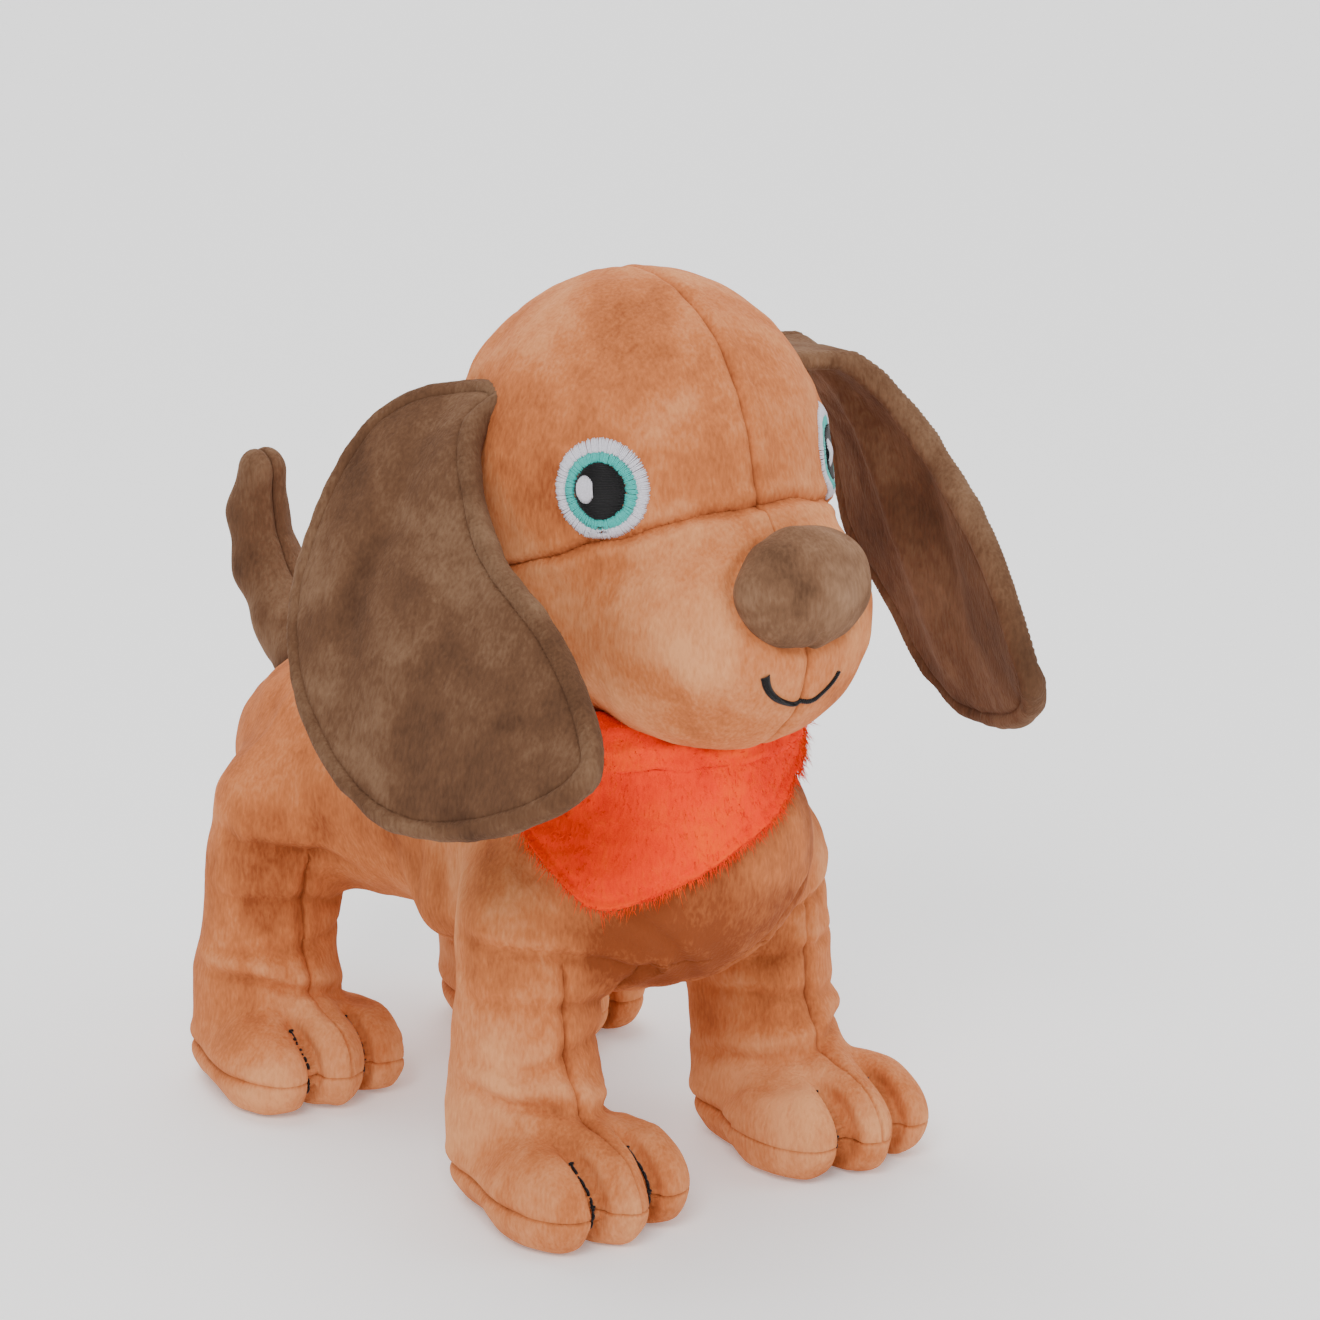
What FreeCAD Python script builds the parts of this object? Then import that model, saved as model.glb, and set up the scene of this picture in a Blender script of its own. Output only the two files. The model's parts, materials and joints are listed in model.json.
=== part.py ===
import FreeCAD, Part
import os
from math import cos, pi, radians, sin

# A standing plush dog: stuffed fabric bodies joined at the neck, ears, tail and legs.
# The dog faces -Y, its left side is +X, and it stands on z = 0. Lengths are in millimetres.
# Lengths along Y are given from the front legs' hip line and moved at export, so that
# the origin lands under the middle of the whole dog.
Y_MIDDLE = 64.4

SKIN = 2.0              # fabric with its backing and the stuffing pressed into it
CORE_GAP = 0.3          # between a skin and the stuffing inside it
MOVING_GAP = 0.5        # between bodies that move on each other
FAR = 400.0             # larger than the dog, for cutting halves
OVAL_POINTS = 16        # points that each oval's smooth outline passes through

# torso: upright oval sections from the chest to the rump
# (place along Y, half width, middle height, half height)
TORSO_SECTIONS = [(-39, 10, 94, 8), (-36, 19, 94, 17), (-28, 30, 94, 27), (-15, 39.5, 94, 34), (8, 45, 94, 38),
                  (35, 43, 92.5, 37.5), (62, 42.5, 91, 37), (90, 44, 90, 36), (117, 46, 90, 35.5),
                  (140, 42, 90, 33), (156, 33, 90, 26), (166, 22, 90, 17), (171, 10, 90, 8)]
BELLY_SEAM_HEIGHT = 64
BELLY_HALF_WIDTH = 20

# neck: a short plug that turns in the chest and carries the head
NECK_RADIUS = 22
NECK_Y = 8
NECK_BOTTOM = 112
NECK_BALL_HEIGHT = 143
HEAD_BOTTOM = 134
NECK_FLARE = 8
NECK_FLARE_BOTTOM = 126
NECK_FLARE_HEIGHT = 21

# head: upright oval sections from the muzzle's front to the back of the skull
HEAD_SECTIONS = [(-62, 14, 165, 15), (-58, 26, 163, 24), (-50, 34, 161, 30), (-38, 40, 162, 35.5),
                 (-28, 42, 169, 43.5), (-15, 46, 180.5, 55), (5, 49.5, 186, 59.5), (25, 48.5, 187.5, 55.5),
                 (42, 42, 188.5, 43.5), (55, 31, 188, 30), (62, 18, 188, 16), (65, 7, 188, 7)]
BROW_SEAM = ((0, -35, 190.5), 16.5)     # a point on the seam, and its slope down to the ears
BACK_SEAM_Y = 34
NOSE = ((0, -57, 173.5), (19.5, 9, 16))
NOSE_TILT = -8

# eyes: rings of satin stitch around an eye's own axis
EYE_CENTRE = (34.6, -20.4, 197)
EYE_TURN = 31
EYE_PITCH = 12
EYE_RADII = {"white": 11.4, "iris": 8.9, "pupil": 6.6}
HIGHLIGHT = (-3.6, 0.4, 2.6)            # across, up, radius
STITCH_HEIGHT = 0.8
STITCH_GAP = 0.1
EYE_DEPTH = 18          # how far an eye's outline reaches through the skull's surface, each way

# mouth: one smiling arc
MOUTH_HEIGHT = 152
MOUTH_RADIUS = 13
MOUTH_HALF_ANGLE = 62
MOUTH_THREAD = 1.6

# ears: two flat layers that hang from the sides of the skull
EAR_ROOT = (43.6, 12, 221)
EAR_ACROSS = (0.258, 0.966, 0.0)        # along the root, towards the back
EAR_DOWN = (0.437, -0.117, -0.892)
EAR_LAYER = 1.6
# the cut's outline: distance back along the root, and distance down
EAR_OUTLINE = [(-2, 3), (8, 0.5), (27, 7), (38, 23), (42.5, 50), (41, 70), (30, 91), (9, 110), (-15, 117.5),
               (-46, 110), (-63, 97), (-61, 84), (-42, 62), (-18, 45), (-6, 28), (1, 12)]

# bandana: a rolled collar, lower in front, and a flap lying on the chest
COLLAR_RADIUS = 38
COLLAR_TUBE = 4.2
COLLAR_HEIGHT = 130.5
COLLAR_TILT = 8
FLAP_GAP = 1.8
FLAP_THICKNESS = 2.5
FLAP_AIM = 32           # degrees that the flap has slid round towards the dog's right
# the flap's outline seen square on: across, height
FLAP_OUTLINE = [(-41, 121), (-37, 112), (-16, 92), (-7, 88), (2, 91), (40, 117), (40, 121)]

# tail: centre line and radii from root to tip
TAIL = [((0, 156, 109), 12.5), ((0, 170, 119), 11), ((0, 183, 136), 9.5),
        ((0, 187, 150), 8), ((0, 186, 161), 6.5)]
TAIL_FLARE = 15          # how much wider the socket's mouth is than the tail, for the wag
TAIL_FLARE_LENGTH = 22

# legs: hip ball, shaft and paw
HIP_HEIGHT = 76
LEG_RADIUS = 19
HIP_RELIEF = 26         # room for the shaft to swing in, each side of the hip
# where each leg stands, and how far its toes' middle lies in front of it
LEGS = {"front_right": (-41, 5, 14), "front_left": (41, 5, 14),
        "hind_right": (-43, 124, 9), "hind_left": (43, 124, 9)}
# flat oval sections of the paw: height, half width, half length, share of the toes' reach
PAW_SECTIONS = [(0, 21, 31, 1.0), (4, 24, 34, 1.0), (10, 25, 35, 1.0), (17, 24.5, 33.5, 0.95),
                (24, 22, 28, 0.7), (31, 20, 22, 0.25), (38, 19, 19, 0.0), (50, 19, 19, 0.0), (64, 19, 19, 0.0)]
HIP_DOME_STEPS = (0, 22, 42, 60, 75, 84)        # degrees up the hip ball
SOLE = 2.0
TOE_LINE_SPACING = 9
TOE_THREAD = 0.8
TOE_LINE_FRONT, TOE_LINE_BACK, TOE_LINE_TOP = 45, 12, 27


def ellipsoid(centre, radii):
    """An axis-aligned ellipsoid."""
    stretch = FreeCAD.Matrix()
    stretch.scale(FreeCAD.Vector(*radii))
    unit = Part.makeSphere(1.0).transformGeometry(stretch)
    unit.translate(FreeCAD.Vector(*centre))
    return unit


def oval(centre, half_x, half_other, other):
    """An oval wire about centre, with half_x across and half_other along the axis other."""
    across, along = FreeCAD.Vector(1, 0, 0), FreeCAD.Vector(*other)
    points = []
    for step in range(OVAL_POINTS):
        angle = 2 * pi * step / OVAL_POINTS
        reach = across * (half_x * sin(angle)) + along * (half_other * cos(angle))
        points.append(FreeCAD.Vector(*centre) + reach)
    curve = Part.BSplineCurve()
    curve.interpolate(points, PeriodicFlag=True)
    return Part.Wire(curve.toShape())


def lofted_along_y(sections, growth):
    """A closed form through upright ovals, larger by growth all round."""
    first, last = sections[0][0], sections[-1][0]
    middle = (first + last) / 2
    stretch = 1 + 2 * growth / (last - first)
    wires = [oval((0, middle + (y - middle) * stretch, height), half_width + growth, half_height + growth,
                  (0, 0, 1)) for y, half_width, height, half_height in sections]
    return Part.makeLoft(wires, True)


def ball(centre, radius):
    return Part.makeSphere(radius, FreeCAD.Vector(*centre))


def tapered(start, end, start_radius, end_radius):
    """A cone frustum between two points with a ball on its far end."""
    start_point = FreeCAD.Vector(*start)
    along = FreeCAD.Vector(*end) - start_point
    if start_radius == end_radius:
        shaft = Part.makeCylinder(start_radius, along.Length, start_point, along)
    else:
        shaft = Part.makeCone(start_radius, end_radius, along.Length, start_point, along)
    return shaft.fuse(ball(end, end_radius))


def slab(x_range=(-FAR, FAR), y_range=(-FAR, FAR), z_range=(-FAR, FAR)):
    """A box given by its range on each axis, endless where none is given."""
    spans = (x_range, y_range, z_range)
    corner = FreeCAD.Vector(*[low for low, high in spans])
    return Part.makeBox(*[high - low for low, high in spans], corner)


def turned(shape, centre, axis, angle):
    copy = shape.copy()
    copy.rotate(FreeCAD.Vector(*centre), FreeCAD.Vector(*axis), angle)
    return copy


def join(shapes):
    first, rest = shapes[0], shapes[1:]
    return first.fuse(rest).removeSplitter()


def mirrored(shape):
    return shape.mirror(FreeCAD.Vector(0, 0, 0), FreeCAD.Vector(1, 0, 0))


def cut_hip_relief(form, leg, growth):
    """The form less the room that a leg's ball and shaft sweep, from the hip down."""
    x, y, _ = LEGS[leg]
    radius = HIP_RELIEF + growth
    inner = abs(x) - LEG_RADIUS - MOVING_GAP - growth
    arch = Part.makeCylinder(radius, FAR, FreeCAD.Vector(inner, y, HIP_HEIGHT), FreeCAD.Vector(1, 0, 0))
    under = slab((inner, inner + FAR), (y - radius, y + radius), (-1, HIP_HEIGHT))
    if x < 0:
        arch, under = mirrored(arch), mirrored(under)
    return form.cut(arch).cut(under)


def cut_tail_relief(form, growth):
    """The form less the room that the tail's root sweeps as it wags."""
    root, radius = TAIL[0]
    room = radius + MOVING_GAP + growth
    start = FreeCAD.Vector(*root)
    along = FreeCAD.Vector(*TAIL[1][0]) - start
    flare = Part.makeCone(room, room + TAIL_FLARE, TAIL_FLARE_LENGTH, start, along)
    return form.cut(ball(root, room)).cut(flare)


def torso_form(growth):
    """The torso's outer form, grown, with the sockets of everything that moves in it."""
    form = lofted_along_y(TORSO_SECTIONS, growth)
    socket = Part.makeCylinder(NECK_RADIUS + MOVING_GAP - growth, FAR,
                               FreeCAD.Vector(0, NECK_Y, NECK_BOTTOM - MOVING_GAP + growth))
    form = form.cut(socket)
    for leg in LEGS:
        form = cut_hip_relief(form, leg, -growth)
    return cut_tail_relief(form, -growth)


def make_torso():
    skin = torso_form(0).cut(torso_form(-SKIN))
    belly = slab((-BELLY_HALF_WIDTH, BELLY_HALF_WIDTH), z_range=(0, BELLY_SEAM_HEIGHT))
    sides = skin.cut(belly)
    return {
        "torso_left_panel": sides.common(slab((0, FAR))),
        "torso_right_panel": sides.common(slab((-FAR, 0))),
        "belly_panel": skin.common(belly),
        "torso_stuffing": torso_form(-SKIN - CORE_GAP),
    }


def neck_form(growth):
    """A round plug with a ball on top, on which the head nods."""
    bottom = FreeCAD.Vector(0, NECK_Y, NECK_BOTTOM - growth)
    plug = Part.makeCylinder(NECK_RADIUS + growth, NECK_BALL_HEIGHT - NECK_BOTTOM + growth, bottom)
    return plug.fuse(ball((0, NECK_Y, NECK_BALL_HEIGHT), NECK_RADIUS + growth))


def cut_neck_relief(form, growth):
    """The form less the head's socket: the ball, and a flare below it for the plug to lean in."""
    room = NECK_RADIUS + MOVING_GAP + growth
    socket = ball((0, NECK_Y, NECK_BALL_HEIGHT), room)
    mouth_centre = FreeCAD.Vector(0, NECK_Y, NECK_FLARE_BOTTOM)
    flare = Part.makeCone(room + NECK_FLARE, room, NECK_FLARE_HEIGHT, mouth_centre)
    return form.cut(socket).cut(flare)


def head_blob(growth):
    """The head's closed outer form, grown."""
    return lofted_along_y(HEAD_SECTIONS, growth)


def head_form(growth):
    form = head_blob(growth).common(slab(z_range=(HEAD_BOTTOM - growth, FAR)))
    return cut_neck_relief(form, -growth)


def below_brow():
    """Everything under the plane of the seam that runs below the eyes."""
    point, slope = BROW_SEAM
    half_space = slab(z_range=(point[2] - FAR, point[2]))
    return turned(half_space, point, (1, 0, 0), -slope)


def nose_pad():
    (centre, radii) = NOSE
    pad = turned(ellipsoid(centre, radii), centre, (1, 0, 0), NOSE_TILT)
    return pad.cut(head_blob(0))


def stitched(outline_prism):
    """Raised stitching: the head's surface layer inside a prism."""
    layer = outline_prism.common(head_blob(STITCH_HEIGHT))
    return layer.cut(head_blob(STITCH_GAP))


def eye_axis():
    turn, pitch = radians(EYE_TURN), radians(EYE_PITCH)
    return FreeCAD.Vector(sin(turn) * cos(pitch), -cos(turn) * cos(pitch), sin(pitch))


def eye_prism(radius, across=0, up=0):
    """A cylinder along the left eye's axis, through the skull's surface."""
    axis = eye_axis()
    side = axis.cross(FreeCAD.Vector(0, 0, 1)).normalize()
    above = side.cross(axis)
    start = FreeCAD.Vector(*EYE_CENTRE) - axis * EYE_DEPTH + side * across + above * up
    return Part.makeCylinder(radius, 2 * EYE_DEPTH, start, axis)


def make_eye(side):
    """One embroidered eye. The highlights of both eyes lie on the same side of the pupil."""
    mark_across, mark_up, mark_radius = HIGHLIGHT
    if side == "left":
        mark_across = -mark_across
    rings = list(EYE_RADII.items())
    pieces = {}
    for (name, radius), (_, inner) in zip(rings, rings[1:]):
        ring = eye_prism(radius).cut(eye_prism(inner + STITCH_GAP))
        pieces[name] = stitched(ring)
    mark = eye_prism(mark_radius, mark_across, mark_up)
    pieces["pupil"] = stitched(eye_prism(EYE_RADII["pupil"])).cut(
        eye_prism(mark_radius + STITCH_GAP, mark_across, mark_up))
    pieces["highlight"] = stitched(mark)
    if side == "right":
        pieces = {name: mirrored(shape) for name, shape in pieces.items()}
    return {f"eye_{side}_{name}": shape for name, shape in pieces.items()}


def mouth():
    """The smile: the lower part of a ring, seen from the front, in the muzzle's surface layer."""
    centre = FreeCAD.Vector(0, -FAR, MOUTH_HEIGHT)
    backwards = FreeCAD.Vector(0, 1, 0)
    outer = Part.makeCylinder(MOUTH_RADIUS + MOUTH_THREAD / 2, FAR, centre, backwards)
    inner = Part.makeCylinder(MOUTH_RADIUS - MOUTH_THREAD / 2, FAR, centre, backwards)
    lowest = MOUTH_HEIGHT - MOUTH_RADIUS * cos(radians(MOUTH_HALF_ANGLE))
    arc = outer.cut(inner).common(slab(z_range=(0, lowest)))
    return stitched(arc)


def make_head():
    skin = head_form(0).cut(head_form(-SKIN))
    back = slab(y_range=(BACK_SEAM_Y, FAR))
    front = skin.cut(back)
    muzzle = front.common(below_brow())
    crown = front.cut(below_brow())
    left, right = slab((0, FAR)), slab((-FAR, 0))
    pieces = {
        "crown_left": crown.common(left),
        "crown_right": crown.common(right),
        "back_of_head": skin.common(back),
        "muzzle_left": muzzle.common(left),
        "muzzle_right": muzzle.common(right),
        "nose": nose_pad(),
        "mouth_embroidery": mouth(),
        "head_stuffing": head_form(-SKIN - CORE_GAP),
    }
    pieces.update(make_eye("left"))
    pieces.update(make_eye("right"))
    return pieces


def make_ears():
    """Each ear is one outline cut twice and laid face to face."""
    across, down = FreeCAD.Vector(*EAR_ACROSS), FreeCAD.Vector(*EAR_DOWN)
    outward = down.cross(across).normalize()
    if outward.x < 0:
        outward = outward.negative()
    root = FreeCAD.Vector(*EAR_ROOT)
    points = [root + across * back + down * drop for back, drop in EAR_OUTLINE]
    edge = Part.BSplineCurve()
    edge.interpolate(points, PeriodicFlag=True)
    face = Part.Face(Part.Wire(edge.toShape()))
    front = face.extrude(outward * EAR_LAYER)
    back = face.extrude(outward * -EAR_LAYER)
    return {
        "ear_left_front": front,
        "ear_left_back": back,
        "ear_right_front": mirrored(front),
        "ear_right_back": mirrored(back),
    }


def collar(growth):
    centre = FreeCAD.Vector(0, NECK_Y, COLLAR_HEIGHT)
    tilt = radians(COLLAR_TILT)
    axis = FreeCAD.Vector(0, -sin(tilt), cos(tilt))
    return Part.makeTorus(COLLAR_RADIUS, COLLAR_TUBE + growth, centre, axis)


def make_bandana():
    """The collar roll and the pointed flap, which follows the chest."""
    middle = (0, NECK_Y, 0)
    points = [FreeCAD.Vector(across, -FAR, z) for across, z in FLAP_OUTLINE]
    outline = Part.Face(Part.makePolygon(points + points[:1]))
    prism = outline.extrude(FreeCAD.Vector(0, FAR, 0))
    prism.translate(FreeCAD.Vector(*middle))
    prism = turned(prism, middle, (0, 0, 1), -FLAP_AIM)
    flap = prism.common(lofted_along_y(TORSO_SECTIONS, FLAP_GAP + FLAP_THICKNESS))
    flap = flap.cut(lofted_along_y(TORSO_SECTIONS, FLAP_GAP))
    return {"bandana_collar": collar(0), "bandana_flap": flap.cut(collar(STITCH_GAP))}


def tail_form(growth):
    pieces = [ball(TAIL[0][0], TAIL[0][1] + growth)]
    for (start, start_radius), (end, end_radius) in zip(TAIL, TAIL[1:]):
        pieces.append(tapered(start, end, start_radius + growth, end_radius + growth))
    return join(pieces)


def make_tail():
    skin = tail_form(0).cut(tail_form(-SKIN))
    return {
        "tail_left_panel": skin.common(slab((0, FAR))),
        "tail_right_panel": skin.common(slab((-FAR, 0))),
        "tail_stuffing": tail_form(-SKIN - CORE_GAP),
    }


def leg_form(leg, growth):
    """Hip ball, shaft and paw as one form, flat underneath."""
    x, y, reach = LEGS[leg]
    wires = [oval((x, y - reach * share, height), half_width + growth, half_length + growth, (0, 1, 0))
             for height, half_width, half_length, share in PAW_SECTIONS]
    radius = LEG_RADIUS + growth
    for step in HIP_DOME_STEPS:
        angle = radians(step)
        ring = radius * cos(angle)
        wires.append(oval((x, y, HIP_HEIGHT + radius * sin(angle)), ring, ring, (0, 1, 0)))
    return Part.makeLoft(wires, True)


def toe_threads(leg):
    """Two stitched lines that part the three toes, each over the paw's front."""
    x, y, reach = LEGS[leg]
    toes_y = y - reach
    layer = leg_form(leg, STITCH_HEIGHT).cut(leg_form(leg, STITCH_GAP))
    half = TOE_THREAD / 2
    lines = []
    for offset in (-TOE_LINE_SPACING, TOE_LINE_SPACING):
        sheet = slab((x + offset - half, x + offset + half), (toes_y - TOE_LINE_FRONT, toes_y - TOE_LINE_BACK),
                     (SOLE + 1, TOE_LINE_TOP))
        lines.append(layer.common(sheet))
    return Part.makeCompound([solid for line in lines for solid in line.Solids])


def make_leg(leg):
    x = LEGS[leg][0]
    body = leg_form(leg, 0)
    skin = body.cut(leg_form(leg, -SKIN)).common(slab(z_range=(SOLE, FAR)))
    right_half, left_half = skin.common(slab((-FAR, x))), skin.common(slab((x, FAR)))
    outer, inner = (right_half, left_half) if x < 0 else (left_half, right_half)
    stuffing = leg_form(leg, -SKIN - CORE_GAP).common(slab(z_range=(SOLE + CORE_GAP, FAR)))
    return {
        f"leg_{leg}_outer_panel": outer,
        f"leg_{leg}_inner_panel": inner,
        f"leg_{leg}_sole": body.common(slab(z_range=(0, SOLE))),
        f"leg_{leg}_toe_threads": toe_threads(leg),
        f"leg_{leg}_stuffing": stuffing,
    }


def export(name, shape):
    solids = [solid for solid in shape.Solids if solid.Volume > 1.0]
    if not solids:
        raise ValueError(f"{name} holds no solid")
    out = solids[0] if len(solids) == 1 else Part.makeCompound(solids)
    out.translate(FreeCAD.Vector(0, -Y_MIDDLE, 0))
    out.exportStep(os.path.join("parts", name + ".step"))
    box = out.optimalBoundingBox(True, False)
    print(f"{name:28s} {len(solids)} {out.Volume:9.1f} {out.isValid()} "
          f"x {box.XMin:.1f} {box.XMax:.1f} y {box.YMin:.1f} {box.YMax:.1f} z {box.ZMin:.1f} {box.ZMax:.1f}")


def main():
    os.makedirs("parts", exist_ok=True)
    pieces = {"neck_stuffing": neck_form(0)}
    pieces.update(make_torso())
    pieces.update(make_head())
    pieces.update(make_ears())
    pieces.update(make_bandana())
    pieces.update(make_tail())
    for leg in LEGS:
        pieces.update(make_leg(leg))
    for name, shape in pieces.items():
        export(name, shape)


main()
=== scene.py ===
"""A standing plush dog, built round its CAD frame.

Lengths are in millimetres until a mesh is made. Y runs back, with the front legs' hips at
FRONT_HIP_Y, and to_frame() turns a place into the frame's metres. The dog faces -Y, its left is +X.
"""

import copy
import json
from math import cos, pi, radians, sin, sqrt

import bpy
import numpy as np
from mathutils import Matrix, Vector

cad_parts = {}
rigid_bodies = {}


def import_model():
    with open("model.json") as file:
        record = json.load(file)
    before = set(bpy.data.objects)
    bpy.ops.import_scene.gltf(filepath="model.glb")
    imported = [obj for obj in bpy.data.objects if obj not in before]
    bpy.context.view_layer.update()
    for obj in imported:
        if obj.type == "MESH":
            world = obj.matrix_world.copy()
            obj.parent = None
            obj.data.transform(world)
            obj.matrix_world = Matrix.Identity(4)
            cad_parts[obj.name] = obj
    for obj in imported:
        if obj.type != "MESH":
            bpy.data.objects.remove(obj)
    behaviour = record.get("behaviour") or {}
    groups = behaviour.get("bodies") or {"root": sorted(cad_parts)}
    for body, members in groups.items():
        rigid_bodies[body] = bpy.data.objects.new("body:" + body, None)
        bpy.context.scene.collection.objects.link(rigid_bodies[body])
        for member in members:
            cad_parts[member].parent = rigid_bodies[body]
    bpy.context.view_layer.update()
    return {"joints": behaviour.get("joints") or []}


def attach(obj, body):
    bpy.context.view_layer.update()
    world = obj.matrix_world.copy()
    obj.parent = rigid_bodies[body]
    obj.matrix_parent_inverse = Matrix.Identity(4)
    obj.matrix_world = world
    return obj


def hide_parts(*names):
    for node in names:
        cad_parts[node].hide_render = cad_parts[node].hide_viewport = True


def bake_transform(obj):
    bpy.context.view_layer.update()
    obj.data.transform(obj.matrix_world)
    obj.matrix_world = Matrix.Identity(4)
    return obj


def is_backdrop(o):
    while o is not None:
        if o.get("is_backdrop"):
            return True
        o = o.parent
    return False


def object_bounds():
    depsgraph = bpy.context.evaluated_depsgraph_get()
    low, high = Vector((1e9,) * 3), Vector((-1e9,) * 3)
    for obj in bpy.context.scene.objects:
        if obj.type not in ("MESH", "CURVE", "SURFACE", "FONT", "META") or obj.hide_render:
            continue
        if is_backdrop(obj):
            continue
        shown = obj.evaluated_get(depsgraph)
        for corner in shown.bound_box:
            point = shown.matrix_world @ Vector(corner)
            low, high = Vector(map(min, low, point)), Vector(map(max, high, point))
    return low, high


for leftover in list(bpy.data.objects):
    bpy.data.objects.remove(leftover)
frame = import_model()
joints = {joint["name"]: joint for joint in frame["joints"]}

# ---- places and sizes
FRONT_HIP_Y = 5.0
SHIFT_Y = joints["leg_front_left_swing"]["pos_m"][1] * 1000 - FRONT_HIP_Y
SKIN = 1.6
THIN_SKIN = 1.3
LEGS = {}
for corner in ("front_right", "front_left", "hind_right", "hind_left"):
    hip = joints[f"leg_{corner}_swing"]["pos_m"]
    LEGS[corner] = (hip[0] * 1000, hip[1] * 1000 - SHIFT_Y)
PAW_REACH = {"front": 21.0, "hind": 15.0}
TOE_GAP = 9.0
MIDDLE_Y = 62.0
ENDLESS = 1e5
# Each oval is its centre and its three radii.
CHEST = ((0, 8, 92.5), (45, 46.5, 40))
RUMP = ((0, 117, 90), (46, 55, 35.5))
ELBOW = ((31, 40, 73), (13.5, 22, 14.5))
BARREL = ((0, 0, 91), (43, ENDLESS, 36.5))
BARREL_HALF = 56.0
SKULL = ((0, 6, 192), (50, 44.5, 53))
OCCIPUT = ((0, 13, 191), (47.5, 50.5, 51.5))
CHEEKS = ((0, 2, 163), (43.5, 42, 37))
MUZZLE = ((0, -26.5, 159.5), (41, 35.5, 33.5))
NOSE = ((0.8, -57.5, 173.5), (20.5, 11, 15.8))
NOSE_TILT = -8
# The tail's middle line, as places and the radius at each.
TAIL = [((0, 148, 103), 13.5), ((0, 160, 107), 12.3), ((0, 175, 117), 11.0), ((0, 188, 132), 9.8),
        ((0, 192.5, 147), 8.4), ((0, 190, 160), 6.9)]
EYE = (34.6, -20.4, 197.0)
EAR_ROOT = (43.6, 12.0, 221.0)
# The directions in which an ear lies, and its outline in them: across, and down from the root.
EAR_ACROSS = (0.258, 0.966, 0.0)
EAR_DOWN = (0.437, -0.117, -0.892)
EAR_OUTLINE = [(-2, 3), (8, 0.5), (27, 7), (38, 23), (42.5, 50), (41, 70), (30, 91), (9, 110), (-15, 117.5),
               (-46, 110), (-63, 97), (-61, 84), (-42, 62), (-18, 45), (-6, 28), (1, 12)]


def to_frame(points):
    """The script's millimetres as the frame's metres."""
    return (np.asarray(points, float) + (0.0, SHIFT_Y, 0.0)) / 1000


# ---- distance fields
def length(v):
    return np.sqrt((v * v).sum(-1))


def oval(p, centre, radii, tilt=0.0):
    """Roughly the distance to an ellipsoid, tilted about X by so many degrees."""
    q = p - np.array(centre, p.dtype)
    if tilt:
        c, s = cos(radians(tilt)), sin(radians(tilt))
        q = np.stack([q[..., 0], c * q[..., 1] + s * q[..., 2], c * q[..., 2] - s * q[..., 1]], -1)
    r = np.array(radii, p.dtype)
    near = length(q / r)
    return near * (near - 1) / (length(q / (r * r)) + 1e-9)


def limb(p, start, end, start_radius, end_radius):
    """Distance to a tapered rod with round ends."""
    a, b = np.array(start, p.dtype), np.array(end, p.dtype)
    along = b - a
    h = np.clip(((p - a) @ along) / (along @ along), 0, 1)
    return length(p - a - h[..., None] * along) - (start_radius + (end_radius - start_radius) * h)


def melt(a, b, width):
    """The union of two fields with a soft joint of that width."""
    h = np.clip(0.5 + 0.5 * (b - a) / width, 0, 1)
    return b + (a - b) * h - width * h * (1 - h)


def carve(a, b, width):
    """What two fields share, with a soft edge."""
    return -melt(-a, -b, width)


def bell(x, width):
    return np.exp(-(x / width) ** 2)


def fade(x, width):
    """One up to where x is zero, then falling away over the width."""
    return bell(np.maximum(x, 0), width)


def folded(p):
    """Points of both sides, laid on the left side."""
    return np.stack([np.abs(p[..., 0]), p[..., 1], p[..., 2]], -1)


def torso_field(p):
    barrel = np.maximum(oval(p, *BARREL), np.abs(p[..., 1] - MIDDLE_Y) - BARREL_HALF)
    front = melt(melt(oval(p, *CHEST), barrel, 10), oval(folded(p), *ELBOW), 8)
    return melt(front, oval(p, *RUMP), 10)


def leg_field(p, x, y, reach):
    """One leg of the left side: shaft, instep and three toes parted by grooves, flat underneath."""
    q = p - np.array((x, y, 0), p.dtype)
    hip_y, heel_y, toe_y = (-4, 5, 3.5 - reach) if y > MIDDLE_Y else (-1, -1, -reach)
    shaft = limb(q, (-2.5, hip_y + 2, 80), (0, 3.5 + 0.5 * heel_y, 26), 18.8, 19.8)
    heel = oval(q, (0.5, heel_y, 12), (20.5, 20, 17.5))
    pad = oval(q, (0, toe_y + 3, 10.5), (23.5, 21, 14.5))
    middle = oval(q, (0, toe_y - 9, 12), (11.5, 19, 15.2))
    side = oval(folded(q), (15.5, toe_y - 5.5, 11.5), (11.2, 19.5, 14.6))
    instep = limb(q, (0, -4, 30), (0, toe_y - 2, 15), 16.5, 12)
    toes = melt(melt(middle, side, 1.2), pad, 3)
    foot = melt(melt(heel, toes, 7), instep, 7)
    return carve(melt(foot, shaft, 7), -p[..., 2], 3.5)


def body_field(p):
    """Torso and legs as one stuffed form. Both sides are alike."""
    q = folded(p)
    legs = np.minimum(leg_field(q, *LEGS["front_left"], PAW_REACH["front"]),
                      leg_field(q, *LEGS["hind_left"], PAW_REACH["hind"]))
    return melt(torso_field(q), legs, 9)


def head_field(p):
    skull = melt(oval(p, *SKULL), oval(p, *OCCIPUT), 8)
    return melt(melt(skull, oval(p, *CHEEKS), 12), oval(p, *MUZZLE), 8)


def tail_field(p):
    field = None
    for (start, start_radius), (end, end_radius) in zip(TAIL, TAIL[1:]):
        part = limb(p, start, end, start_radius, end_radius)
        field = part if field is None else melt(field, part, 4)
    return field


# ---- meshing
def grid_points(low, high, step):
    axes = [np.arange(a, b + step, step, dtype=np.float32) for a, b in zip(low, high)]
    return np.stack(np.meshgrid(*axes, indexing="ij"), -1)


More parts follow.
